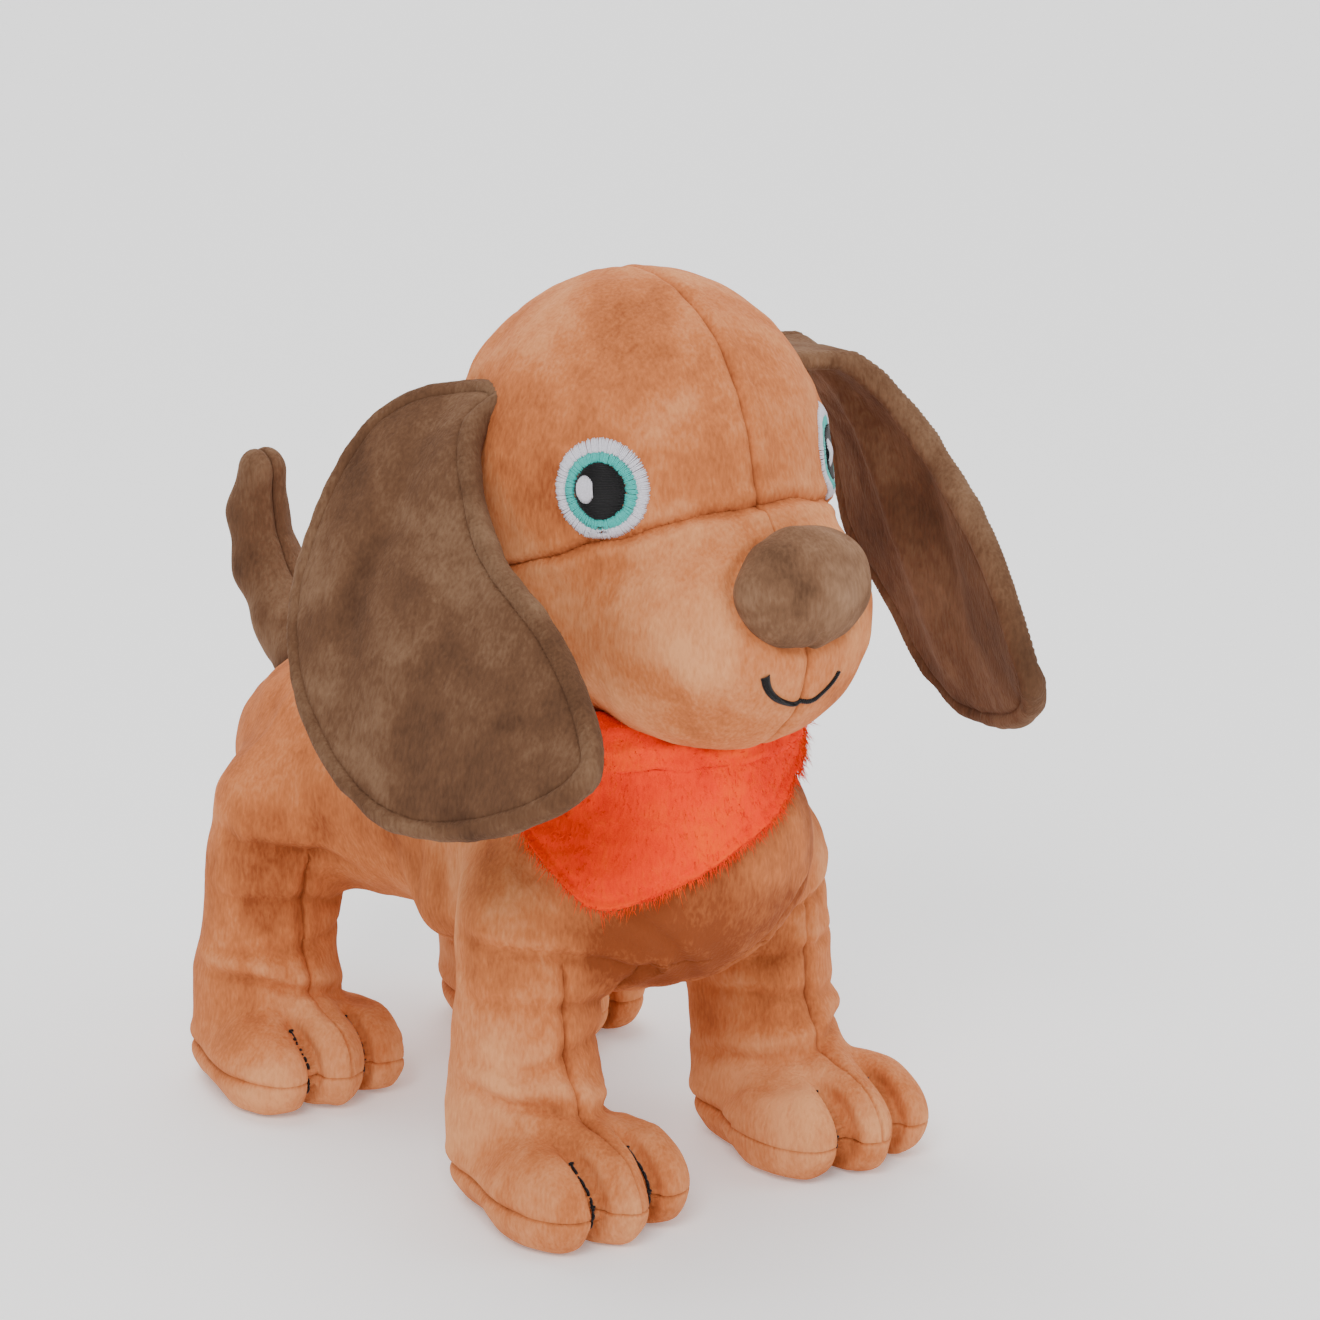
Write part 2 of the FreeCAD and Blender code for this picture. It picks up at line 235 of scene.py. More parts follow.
def sample(field, low, high, step):
    """The field on a grid, worked out in slabs to spare memory."""
    points = grid_points(low, high, step)
    return np.concatenate([field(points[i:i + 16]) for i in range(0, len(points), 16)]), points[0, 0, 0]


def surface(field, low, high, step):
    """Points and quads of the field's zero surface: one point in each cell that it crosses."""
    values, origin = sample(field, low, high, step)
    inside = values < 0
    cells = [n - 1 for n in values.shape]
    corners = [(i, j, k) for i in (0, 1) for j in (0, 1) for k in (0, 1)]

    def block(array, corner):
        return array[tuple(slice(c, c + n) for c, n in zip(corner, cells))]

    count = sum(block(inside, c).astype(np.int8) for c in corners)
    crossed = (count > 0) & (count < 8)
    cell_list = np.argwhere(crossed)
    total = np.zeros((len(cell_list), 3))
    hits = np.zeros(len(cell_list))
    for a in corners:
        for axis in range(3):
            if a[axis]:
                continue
            b = tuple(c + (1 if i == axis else 0) for i, c in enumerate(a))
            va, vb = block(values, a)[crossed], block(values, b)[crossed]
            cut = (va < 0) != (vb < 0)
            share = np.where(cut, va / np.where(cut, va - vb, 1), 0)
            place = np.tile(np.array(a, float), (len(cell_list), 1))
            place[:, axis] += share
            total += place * cut[:, None]
            hits += cut
    verts = origin + step * (cell_list + total / hits[:, None])
    number = np.full(cells, -1)
    number[crossed] = np.arange(len(cell_list))
    quads = []
    for axis in range(3):
        u, v = (axis + 1) % 3, (axis + 2) % 3
        ahead = np.roll(inside, -1, axis)
        index = np.argwhere(inside != ahead)
        keep = (index[:, axis] < cells[axis]) & (index[:, u] > 0) & (index[:, v] > 0)
        keep &= (index[:, u] < cells[u]) & (index[:, v] < cells[v])
        index = index[keep]
        ring = []
        for du, dv in ((-1, -1), (0, -1), (0, 0), (-1, 0)):
            shifted = index.copy()
            shifted[:, u] += du
            shifted[:, v] += dv
            ring.append(number[tuple(shifted.T)])
        ring = np.stack(ring, 1)
        outward = inside[tuple(index.T)]
        ring[~outward] = ring[~outward][:, ::-1]
        quads.append(ring)
    return verts, np.concatenate(quads)


def slope(field, p, reach=0.05):
    """The field's unit gradient."""
    parts = []
    for axis in range(3):
        offset = np.zeros(3)
        offset[axis] = reach
        parts.append(field(p + offset) - field(p - offset))
    gradient = np.stack(parts, -1)
    return gradient / (length(gradient)[:, None] + 1e-12)


def settle(field, p, level=0.0, rounds=3):
    """Moves points on to the surface where the field has that level."""
    for _ in range(rounds):
        p = p - slope(field, p) * (field(p) - level)[:, None]
    return p


def triangles(quads):
    return np.concatenate([quads[:, [0, 1, 2]], quads[:, [0, 2, 3]]])


def point_normals(verts, tris):
    a, b, c = (verts[tris[:, i]] for i in range(3))
    face = np.cross(b - a, c - a)
    normals = np.zeros_like(verts)
    for i in range(3):
        np.add.at(normals, tris[:, i], face)
    return normals / (length(normals)[:, None] + 1e-12)


# The swelling out, in millimetres, that gets the full painted light, and the fold depth that gets the full
# painted shade.
FULL_SWELL = 1.6
NUDGE = 1e-4


class Skin:
    """A closed surface that is cut into panels. Panels that meet share their normals along the cut.

    The surface is found between the corners low and high, in cells of size step. Each point has two
    marks, which the plush paints as light and shade: how far it swells out or lies in a fold, with the
    light and shade that nap paints by region, and whether it is on a seam, painted darker as shade.
    """

    def __init__(self, field, low, high, step, shape=None, nap=None):
        verts, quads = surface(field, low, high, step)
        verts = settle(field, verts)
        self.tris = triangles(quads)
        self.marks = np.zeros((len(verts), 2))
        if shape is not None:
            out = shape(verts)
            verts = verts + slope(field, verts) * out[:, None]
            # Painted light where the surface swells out, painted shade in its folds and seam grooves.
            self.marks[:, 0] = np.clip(out / FULL_SWELL, -1, 1)
        # nap adds painted light and shade by region to the first mark.
        if nap is not None:
            self.marks[:, 0] += nap(verts)
        self.verts = verts
        self.normals = point_normals(verts, self.tris)
        self.rest = self.tris

    def cut(self, value):
        """Cuts what is left where value(points) is zero, and takes away the part above zero."""
        tris = self.rest
        level = value(self.verts)
        level[np.abs(level) < NUDGE] = NUDGE
        above = level[tris] > 0
        count = above.sum(1)
        taken, left = [tris[count == 3]], [tris[count == 0]]
        crossed = (count > 0) & (count < 3)
        mixed, mixed_above = tris[crossed], above[crossed]
        lone_above = mixed_above.sum(1) == 1
        lone = np.where(lone_above[:, None], mixed_above, ~mixed_above).argmax(1)
        order = (lone[:, None] + np.arange(3)) % 3
        a, b, c = np.take_along_axis(mixed, order, 1).T
        edges = np.concatenate([np.stack([a, b], 1), np.stack([a, c], 1)])
        unique, where = np.unique(np.sort(edges, 1), axis=0, return_inverse=True)
        p, q = unique.T
        share = (level[p] / (level[p] - level[q]))[:, None]
        start = len(self.verts)
        self.verts, self.normals, self.marks = (
            np.concatenate([known, known[p] + share * (known[q] - known[p])])
            for known in (self.verts, self.normals, self.marks))
        self.normals[start:] /= length(self.normals[start:])[:, None]
        where = where.reshape(-1) + start
        ab, ac = where[:len(a)], where[len(a):]
        tip = np.stack([a, ab, ac], 1)
        base = np.concatenate([np.stack([ab, b, c], 1), np.stack([ab, c, ac], 1)])
        twice = np.concatenate([lone_above, lone_above])
        taken += [tip[lone_above], base[~twice]]
        left += [tip[~lone_above], base[twice]]
        self.rest = np.concatenate(left)
        return np.concatenate(taken)

    def tuck(self, groups, depth=0.55, sewn=None):
        """Draws in the points that two panels of one group share, where sewn is true."""
        for group in groups:
            count = np.zeros(len(self.verts), int)
            for tris in group:
                count[np.unique(tris)] += 1
            self.marks[count > 1, 1] = 1
        if sewn is not None:
            self.marks[:, 1] *= sewn(self.verts)
        drawn = self.marks[:, 1] > 0
        self.verts[drawn] -= self.normals[drawn] * depth
        kept = np.concatenate([tris for group in groups for tris in group])
        self.normals = point_normals(self.verts, kept)

    def panel(self, name, tris, thickness=SKIN):
        """A panel as a closed shell: the outside, the inside and a rim along its seams."""
        used, index = np.unique(tris, return_inverse=True)
        outer = index.reshape(-1, 3)
        verts, normals = self.verts[used], self.normals[used]
        inner = outer[:, ::-1] + len(used)
        edges = np.concatenate([outer[:, [0, 1]], outer[:, [1, 2]], outer[:, [2, 0]]])
        known = set(map(tuple, edges))
        rim = np.array([(i, j) for i, j in edges if (j, i) not in known], int).reshape(-1, 2)
        walls = np.concatenate([np.stack([rim[:, 1], rim[:, 0], rim[:, 0] + len(used)], 1),
                                np.stack([rim[:, 1], rim[:, 0] + len(used), rim[:, 1] + len(used)], 1)])
        all_verts = np.concatenate([verts, verts - normals * thickness])
        return make_mesh(name, all_verts, np.concatenate([outer, inner, walls]).tolist(),
                         np.concatenate([normals, -normals]), np.concatenate([self.marks[used]] * 2))


def add_object(name, data):
    made = bpy.data.objects.new(name, data)
    bpy.context.scene.collection.objects.link(made)
    return made


def make_mesh(name, verts, faces, normals=None, marks=None):
    """A smooth mesh object from points in millimetres, kept from reaching below the floor."""
    grounded = to_frame(verts)
    grounded[:, 2] = np.maximum(grounded[:, 2], 0)
    mesh = bpy.data.meshes.new(name)
    mesh.from_pydata(grounded.tolist(), [], faces)
    mesh.shade_smooth()
    if normals is not None:
        mesh.normals_split_custom_set_from_vertices(normals.tolist())
    if marks is not None:
        # Both marks are painted into the plush's colour as light and shade.
        for column, mark in enumerate(("light_and_shade", "seam")):
            layer = mesh.attributes.new(mark, "FLOAT", "POINT")
            layer.data.foreach_set("value", marks[:, column].astype(np.float32))
    return add_object(name, mesh)


def mirrored(p):
    return p * np.array((-1.0, 1.0, 1.0))


def lumps(p, size, seed):
    """Smooth random unevenness, about +-1, with lumps of that size."""
    pick = np.random.default_rng(seed)
    count = 14
    directions = pick.normal(size=(count, 3))
    directions /= length(directions)[:, None]
    waves = 2 * pi / size * pick.uniform(0.6, 1.4, count)
    phases = pick.uniform(0, 2 * pi, count)
    return np.sin(p @ (directions * waves[:, None]).T + phases).sum(1) / sqrt(count)


# ---- materials
def tone(colour):
    """A display colour, 0 to 255, as linear light."""
    return (*[((c / 255 + 0.055) / 1.055) ** 2.4 if c > 10 else c / 255 / 12.92 for c in colour], 1.0)


def new_material(name):
    material = bpy.data.materials.new(name)
    material.use_nodes = True
    tree = material.node_tree
    return material, tree.nodes, tree.links, tree.nodes["Principled BSDF"]


def set_inputs(node, values):
    for name, value in values.items():
        node.inputs[name].default_value = value


def add_bump(nodes, links, shader, height, strength, distance):
    bump = nodes.new("ShaderNodeBump")
    set_inputs(bump, {"Strength": strength, "Distance": distance})
    links.new(height, bump.inputs["Height"])
    links.new(bump.outputs["Normal"], shader.inputs["Normal"])


FIBRE_RISE = 0.0011


def plush(name, dark, middle, light, patch=26.0, pile=1.0, sheen=0.45):
    """Short brushed pile: patches where the nap lies differently, clumps, and single fibres, with painted
    light and shade from the mesh's marks.

    Patch is the patches' size in millimetres, and pile is how rough the pile is.
    """
    material, nodes, links, shader = new_material(name)
    place = nodes.new("ShaderNodeTexCoord")

    def noise(size, detail, stretch=(1, 1, 1), warp=0.0):
        fit = nodes.new("ShaderNodeMapping")
        set_inputs(fit, {"Scale": stretch})
        links.new(place.outputs["Object"], fit.inputs["Vector"])
        made = nodes.new("ShaderNodeTexNoise")
        set_inputs(made, {"Scale": 1000 / size, "Detail": detail, "Distortion": warp})
        links.new(fit.outputs["Vector"], made.inputs["Vector"])
        return made.outputs["Fac"]

    def mix(a, b, share):
        made = nodes.new("ShaderNodeMix")
        made.inputs[0].default_value = share
        links.new(a, made.inputs[2])
        links.new(b, made.inputs[3])
        return made.outputs[0]

    def mark(name, gain, add_to):
        """Adds a mesh's mark, so many times, to a value."""
        found = nodes.new("ShaderNodeAttribute")
        found.attribute_name = name
        made = nodes.new("ShaderNodeMath")
        made.operation = "MULTIPLY_ADD"
        made.inputs[1].default_value = gain
        links.new(found.outputs["Fac"], made.inputs[0])
        links.new(add_to, made.inputs[2])
        return made.outputs[0]

    nap = noise(patch, 3, warp=0.5)
    clump = noise(4.2, 4, (1, 1, 0.6), warp=0.8)
    fibre = noise(0.9, 2, (1, 1, 0.35))
    both = mix(mix(nap, clump, 0.2), fibre, 0.22)
    # Painted shade along the seams and in the folds, painted light on swells, and the regions' painted
    # light and shade.
    pile_and_shade = mark("seam", -0.12, mark("light_and_shade", 0.075, both))
    ramp = nodes.new("ShaderNodeValToRGB")
    stops = ramp.color_ramp.elements
    stops[0].position, stops[1].position = 0.3, 0.7
    stops[0].color, stops[1].color = tone(dark), tone(light)
    stops.new(0.5).color = tone(middle)
    links.new(pile_and_shade, ramp.inputs["Fac"])
    links.new(ramp.outputs["Color"], shader.inputs["Base Color"])
    height = mix(mix(clump, fibre, 0.5), nap, 0.25)
    add_bump(nodes, links, shader, height, 0.75, FIBRE_RISE * pile)
    set_inputs(shader, {"Roughness": 0.92, "Specular IOR Level": 0.15, "Sheen Weight": sheen,
                        "Sheen Roughness": 0.45, "Sheen Tint": tone(light)})
    return material


def floss(name, colour, gloss):
    """Shiny twisted embroidery thread."""
    material, nodes, links, shader = new_material(name)
    place = nodes.new("ShaderNodeTexCoord")
    twist = nodes.new("ShaderNodeTexNoise")
    set_inputs(twist, {"Scale": 2600})
    links.new(place.outputs["Object"], twist.inputs["Vector"])
    shade = nodes.new("ShaderNodeMix")
    shade.data_type = "RGBA"
    shade.inputs[6].default_value = tone([c * 0.78 for c in colour])
    shade.inputs[7].default_value = tone(colour)
    links.new(twist.outputs["Fac"], shade.inputs[0])
    links.new(shade.outputs[2], shader.inputs["Base Color"])
    add_bump(nodes, links, shader, twist.outputs["Fac"], 0.35, 0.0001)
    set_inputs(shader, {"Roughness": 0.42, "Specular IOR Level": gloss, "Sheen Weight": 0.15})
    return material


peach = plush("peach", (134, 66, 33), (190, 110, 63), (220, 150, 100), patch=34.0, sheen=0.14)
brown = plush("brown", (66, 42, 28), (96, 66, 46), (128, 98, 74), patch=26.0, pile=1.3, sheen=0.3)
# A lighter copy of the brown for the nose: painted light, as the nose takes the ears' brown cloth.
lit_brown = plush("lit_brown", (74, 49, 33), (112, 80, 58), (146, 112, 86), patch=16.0, pile=1.1,
                   sheen=0.35)
orange = plush("orange", (226, 34, 0), (250, 55, 0), (255, 84, 0), patch=16.0, pile=1.6, sheen=0.0)
orange_pile = plush("orange_pile", (236, 40, 0), (255, 66, 0), (255, 100, 1), patch=9.0, sheen=0.02)
filling = plush("filling", (205, 203, 198), (228, 226, 221), (244, 243, 239), patch=10.0, pile=2.0)
threads = {slot: floss(slot, colour, gloss) for slot, colour, gloss in (
    ("white_thread", (232, 228, 238), 0.4),
    ("turquoise_thread", (52, 196, 186), 0.4),
    ("black_thread", (9, 7, 9), 0.2))}


def dress(piece, material, slot, *nodes):
    """Gives a piece its material and hides the design nodes that it stands for. The slot is not used."""
    piece.data.materials.append(material)
    if nodes:
        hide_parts(*nodes)


# ---- the body: torso and legs in one skin
LEG_SEAM_NORMAL = np.array((0.6, 0.0, -0.8))
LEG_SEAM_LEVEL = -31.5
SOLE_SEAM = 11.0
BELLY_SEAM = 20.0
# Each fold on the legs is its height, its slant and its depth. On the flank it is its Y and its lean.
LEG_FOLDS = ((31, 0.22, 2.1), (44, -0.12, 0.9), (57, 0.15, 1.0), (71, 0.3, 1.5))
FLANK_FOLDS = ((40, 0.16), (52, 0.05), (66, -0.1))


def leg_side(corner):
    return 1 if corner.endswith("left") else -1


def in_leg(corner):
    """Above zero on one leg, below the slanted line where it leaves the torso."""
    side = leg_side(corner)
    ahead = 1 if corner.startswith("front") else -1

    def value(p):
        slanted = (p * (side, 1, 1)) @ LEG_SEAM_NORMAL - LEG_SEAM_LEVEL
        return np.minimum(slanted, np.minimum(p[:, 0] * side, (MIDDLE_Y - p[:, 1]) * ahead))
    return value


def seam_groove(distance, near, depth=0.9, width=1.3):
    """A sewn line: a narrow valley between two puffed edges, where near is one."""
    return near * depth * (0.45 * bell(np.abs(distance) - 3.2, 2.2) - bell(distance, width))


def leg_shape(p, hip_x, hip_y, toe):
    """A pair of legs: the front seam, the folds, the sole's seam and the grooves between the toes."""
    side_x, z = np.abs(p[:, 0]), p[:, 2]
    across, forward = side_x - hip_x, hip_y - p[:, 1]
    on_leg = fade(np.abs(forward - toe / 3) - 22, 6) * (side_x > 16)
    on_shaft = on_leg * fade(z - 66, 8) * fade(24 - z, 5)
    facing = 1 / (1 + np.exp(-forward / 5))
    out = seam_groove(across - 0.8 * lumps(p, 40, seed=4), on_shaft, 1.0)
    folds = 0
    for height, slant, deep in LEG_FOLDS:
        wave = z - height - slant * across - 0.9 * lumps(p, 23, seed=5)
        folds = folds + deep * (0.5 * bell(wave - 4.2, 2.6) - bell(wave, 1.7))
    out += on_leg * facing * folds
    out += seam_groove(z - SOLE_SEAM, on_leg, 1.1, 1.2)
    toes = fade(toe + 4 - forward, 5) * fade(z - 22, 3) * (side_x > 16)
    out += 0.7 * toes * bell(across, 2)
    return out - 2.3 * toes * bell(np.abs(across) - TOE_GAP, 1.5)


def body_shape(p):
    """Lumps, seams and creases on the torso and the legs, in millimetres outwards."""
    x, y, z = p.T
    side_x = np.abs(x)
    out = 0.45 * lumps(p, 34, seed=2) + 0.22 * lumps(p, 11, seed=3)
    for pair, toe in PAW_REACH.items():
        out += leg_shape(p, *LEGS[f"{pair}_left"], toe)
    flank = fade(36 - side_x, 4) * fade(np.abs(z - 96) - 14, 9)
    for fold_y, lean in FLANK_FOLDS:
        out -= 1.1 * flank * bell(y - fold_y - lean * (z - 95) - lumps(p, 30, seed=6), 3.6)
    belly = fade(z - 70, 5) * fade(np.abs(y - MIDDLE_Y) - 78, 10)
    out += seam_groove(side_x - BELLY_SEAM, belly * (side_x < 27))
    out += seam_groove(x, fade(100 - z, 6) * (y > 40), 0.5)
    out += seam_groove(0.7 * (side_x + 56 - z), fade(y + 8, 8) * fade(np.abs(z - 80) - 22, 4))
    return out


def body_tone_and_shade(p):
    """Above zero where it is paler, on the paws. Below zero on the rump, and most on the chest, where it is
    painted shade under the head.
    """
    x, y, z = p.T
    paws = fade(z - 26, 9)
    chest = fade(y + 6, 14) * fade(np.abs(x) - 26, 14) * fade(64 - z, 12)
    rump = fade(112 - y, 14) * fade(np.abs(z - 66) - 20, 12)
    return paws - 1.9 * chest - 0.5 * rump


def head_light_and_shade(p):
    """Painted light on the muzzle and the whole head a little paler; painted shadow of the ears at the
    temples and painted shade under the chin.
    """
    x, y, z = p.T
    muzzle = fade(y + 30, 16) * fade(z - 186, 5)
    temple = bell(np.abs(x) - 44, 12) * bell(z - 196, 26)
    return 0.7 * muzzle + 0.35 - 0.8 * temple - 1.2 * fade(z - 134, 9)


def round_neck(p, radius):
    """Above zero within that radius of the neck's middle line."""
    return radius - np.hypot(p[:, 0], p[:, 1] - FRONT_HIP_Y)


def sew(skin, panels, body):
    """Panels as pieces of peach cloth that ride one body."""
    for name, tris in panels.items():
        piece = skin.panel(f"{name}_plush", tris)
        dress(piece, peach, "peach_plush", name)
        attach(piece, body)


def make_body():
    """The torso's panels, and each leg's panels and sole."""
    skin = Skin(body_field, (-74, -54, -3), (74, 180, 138), 1.15, body_shape, body_tone_and_shade)
    skin.cut(lambda p: np.minimum(round_neck(p, 24), p[:, 2] - 108))
    skin.cut(lambda p: np.minimum(-tail_field(p) - 1, p[:, 1] - 130))  # the tail's opening
    parts, groups = {}, []
    for corner in LEGS:
        leg = skin.cut(in_leg(corner))
        torso = skin.rest
        skin.rest = leg
        side, hip_x = leg_side(corner), LEGS[corner][0]
        sole = skin.cut(lambda p: SOLE_SEAM - p[:, 2])
        outer = skin.cut(lambda p: (p[:, 0] - hip_x) * side)
        parts[corner] = {"outer_panel": outer, "inner_panel": skin.rest, "sole": sole}
        groups.append(list(parts[corner].values()))
        skin.rest = torso
    belly = skin.cut(lambda p: np.minimum(BELLY_SEAM - np.abs(p[:, 0]), 68 - p[:, 2]))
    left = skin.cut(lambda p: p[:, 0])
    panels = {"belly_panel": belly, "torso_left_panel": left, "torso_right_panel": skin.rest}
    groups.append(list(panels.values()))
    skin.tuck(groups, sewn=lambda p: (p[:, 1] > 10) | (np.abs(p[:, 0]) > 5))  # none down the chest
    for corner, pieces in parts.items():
        for part, tris in pieces.items():
            piece = skin.panel(f"leg_{corner}_{part}_plush", tris)
            dress(piece, peach, "peach_plush", f"leg_{corner}_{part}")
            if part == "sole":
                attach(piece, f"leg_{corner}")
            else:
                bend_leg(piece)
    sew(skin, panels, "torso")


def bend_leg(piece):
    """Bakes a leg panel's placement into its points; it rides no body."""
    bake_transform(piece)


# ---- the head
BACK_SEAM = 34.0
BROW_HEIGHT = 190.5
BROW_SLOPE = 0.296


def brow(p):
    """Height above the seam that runs below the eyes."""
    x, y, z = p.T
    seam = BROW_HEIGHT - BROW_SLOPE * (y + 35) - 4 * (x / 45) ** 2
    return z - seam - 0.5 * lumps(p, 16, seed=8)


def nose_field(p):
    return oval(p, *NOSE, NOSE_TILT)


def head_whole(p):
    """The head, hollowed underneath where it sits on the chest."""
    return carve(head_field(p), 1.2 - torso_field(p), 5)


def head_shape(p):
    """Lumps and seams on the head, gathers above the muzzle and a dent round the nose."""
    x, y, z = p.T
    out = 0.4 * lumps(p, 30, seed=9) + 0.2 * lumps(p, 10, seed=10)
    height = brow(p)
    front = fade(y - 30, 4)
    gathers = 1 + 0.8 * lumps(p * (1.8, 1, 0.4), 9, seed=11)
    out += seam_groove(height, front * (z > 160), 1.2, 1.4)
    out += 0.35 * front * gathers * bell(height + 3.5, 3)
    out += seam_groove(x, fade(-height, 1.5) * front, 0.9)
    out += seam_groove(x, fade(z - 158, 2) * front * (z > 126), 0.7)
    out += seam_groove(y - BACK_SEAM, 1.0, 1.0)
    out -= 1.2 * bell(nose_field(p), 2.0) * (y < -40)
    return out


def make_head():
    """The crown, the muzzle and the back of the head, and the nose."""
    skin = Skin(head_whole, (-54, -66, 120), (54, 68, 249), 1.0, head_shape, head_light_and_shade)
    skin.cut(lambda p: np.minimum(round_neck(p, 23), 150 - p[:, 2]))
    panels = {"back_of_head": skin.cut(lambda p: p[:, 1] - BACK_SEAM)}
    for name, whole in {"crown": skin.cut(brow), "muzzle": skin.rest}.items():
        skin.rest = whole
        panels[f"{name}_left"] = skin.cut(lambda p: p[:, 0])
        panels[f"{name}_right"] = skin.rest
    skin.tuck([list(panels.values())])
    sew(skin, panels, "head")
    nose = Skin(nose_field, (-22, -70, 154), (22, -44, 193), 0.7,
                lambda p: 0.35 * lumps(p, 12, seed=12) - 0.8 * bell(p[:, 0], 1.3) * (p[:, 2] < 164))
    piece = make_mesh("nose_plush", nose.verts, nose.tris.tolist(), nose.normals)
    dress(piece, lit_brown, "brown_plush", "nose")
    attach(piece, "head")


# ---- thread work
def tubes(paths, radius, sides=5):
    """Closed thread tubes along the paths, which thin towards their ends."""
    verts, faces = [], []
    turn = np.arange(sides) * 2 * pi / sides
    for path in paths:
        ahead = np.gradient(path, axis=0)
        ahead /= length(ahead)[:, None] + 1e-12
        helper = np.array((0.0, 0.0, 1.0)) if abs(ahead[0, 2]) < 0.9 else np.array((1.0, 0.0, 0.0))
        first = np.cross(ahead, helper)
        first /= length(first)[:, None]
        second = np.cross(ahead, first)
        thin = np.sin(np.linspace(0.35, pi - 0.35, len(path))) ** 0.3
        ring = first[:, None] * np.cos(turn)[:, None] + second[:, None] * np.sin(turn)[:, None]
        start = sum(len(v) for v in verts)
        verts.append((path[:, None] + ring * (radius * thin)[:, None, None]).reshape(-1, 3))
        for i in range(len(path) - 1):
            for j in range(sides):
                a, b = start + i * sides + j, start + i * sides + (j + 1) % sides
                faces.append((a, b, b + sides, a + sides))
        faces.append(tuple(start + j for j in reversed(range(sides))))
        faces.append(tuple(start + (len(path) - 1) * sides + j for j in range(sides)))
    return np.concatenate(verts), faces


def thread_piece(name, paths, radius, thread, node, body):
    """Thread tubes as one piece, in its thread's material."""
    verts, faces = tubes(paths, radius)
    piece = make_mesh(name, verts, faces)
    dress(piece, threads[thread], thread, node)
    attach(piece, body)


def on_head(points, lift):
    """Points moved on to the head's surface, then out by lift."""
    points = settle(head_field, points, rounds=4)
    out = slope(head_field, points)
    return points + out * (lift + head_shape(points))[:, None]


def stitch(start, end, rise=0.45, steps=6):
    """One satin stitch between two places on the head, arched over the cloth."""
    share = np.linspace(0, 1, steps)
    line = start + share[:, None] * (end - start)
    return on_head(line, rise * np.sin(pi * share) ** 0.5)


THREAD = 0.26
EYE_TURN = radians(31)
EYE_PITCH = radians(12)
EYE_TALL = 1.04
EYE_PUPIL = 6.7
# Each ring is its inner and outer radius, what its upper lid adds, and its thread.
EYE_RINGS = {"white": (8.8, 11.4, 0.5, "white_thread"), "iris": (6.5, 9.0, 0.0, "turquoise_thread")}
HIGHLIGHT = (-3.3, 0.5)
HIGHLIGHT_RADII = (2.2, 3.3)


def make_eye(side):
    """Satin stitches: two rings of spokes, a filled pupil and a highlight."""
    level = cos(EYE_PITCH)
    axis = np.array((sin(EYE_TURN) * level, -cos(EYE_TURN) * level, sin(EYE_PITCH)))
    centre = np.array(EYE)
    if side == "right":
        axis, centre = mirrored(axis), mirrored(centre)
    right = np.cross((0, 0, 1.0), axis)
    right /= np.linalg.norm(right)
    above = np.cross(axis, right)

    def place(across, up):
        return centre + across * right + up * above

    def sewn(part, paths, radius, thread):
        thread_piece(f"eye_{side}_{part}_thread", paths, radius, thread, f"eye_{side}_{part}", "head")

    pick = np.random.default_rng(20 if side == "left" else 21)
    for ring, (inner, outer, lid, thread) in EYE_RINGS.items():
        paths = []
        count = int(2 * pi * outer / (1.55 * THREAD))
        for k in range(count):
            angle = 2 * pi * (k + pick.uniform(-0.3, 0.3)) / count
            a = inner + pick.uniform(-0.5, 0.1)
            b = outer + lid * max(0, sin(angle)) + pick.uniform(-0.15, 0.3)
            c, s = cos(angle), sin(angle) * EYE_TALL
            paths.append(stitch(place(a * c, a * s), place(b * c, b * s)))
        sewn(ring, paths, THREAD, thread)
    paths = []
    for up in np.arange(-EYE_PUPIL, EYE_PUPIL, 1.5 * THREAD):
        half = sqrt(max(EYE_PUPIL ** 2 - up ** 2, 0)) + pick.uniform(-0.1, 0.3)
        if half > 0.8:
            paths.append(stitch(place(-half * 0.92, up), place(half * 0.92, up), 0.75, 9))
    sewn("pupil", paths, THREAD * 1.15, "black_thread")
    paths = []
    wide, tall = HIGHLIGHT_RADII
    for across in np.arange(-1.9, 1.95, 1.4 * THREAD):
        half = tall * sqrt(1 - (across / wide) ** 2)
        x, y = HIGHLIGHT[0] + across, HIGHLIGHT[1]
        path = stitch(place(x, y - half), place(x, y + half), 0.5, 7)
        paths.append(path + slope(head_field, path) * 0.75)
    sewn("highlight", paths, THREAD, "white_thread")


MOUTH_ENDS = (-80, 66)
MOUTH_CENTRE = (-0.5, -60.0, 155.0)
MOUTH_RADII = (13.0, 12.5)


def make_mouth():
    """The smile: stitches laid across an arc that thins towards one end."""
    paths = []
    for share in np.linspace(0, 1, 70):
        angle = radians(MOUTH_ENDS[0] + (MOUTH_ENDS[1] - MOUTH_ENDS[0]) * share)
        half = 1.3 - 0.8 * share ** 0.7
        c, s = cos(angle), sin(angle)
        spot = np.array(MOUTH_CENTRE) + (MOUTH_RADII[0] * s, 0, -MOUTH_RADII[1] * c)
        across = np.array((s, 0, -c)) + 0.25 * np.array((c, 0, s))
        paths.append(stitch(spot - across * half, spot + across * half, 0.6))
    thread_piece("mouth_thread", paths, THREAD, "black_thread", "mouth_embroidery", "head")


def along_y(field, points):
    """Where lines along +Y first meet the field's surface."""
    points = points.copy()
    for _ in range(60):
        points[:, 1] += np.maximum(field(points), 0.02)
    return points


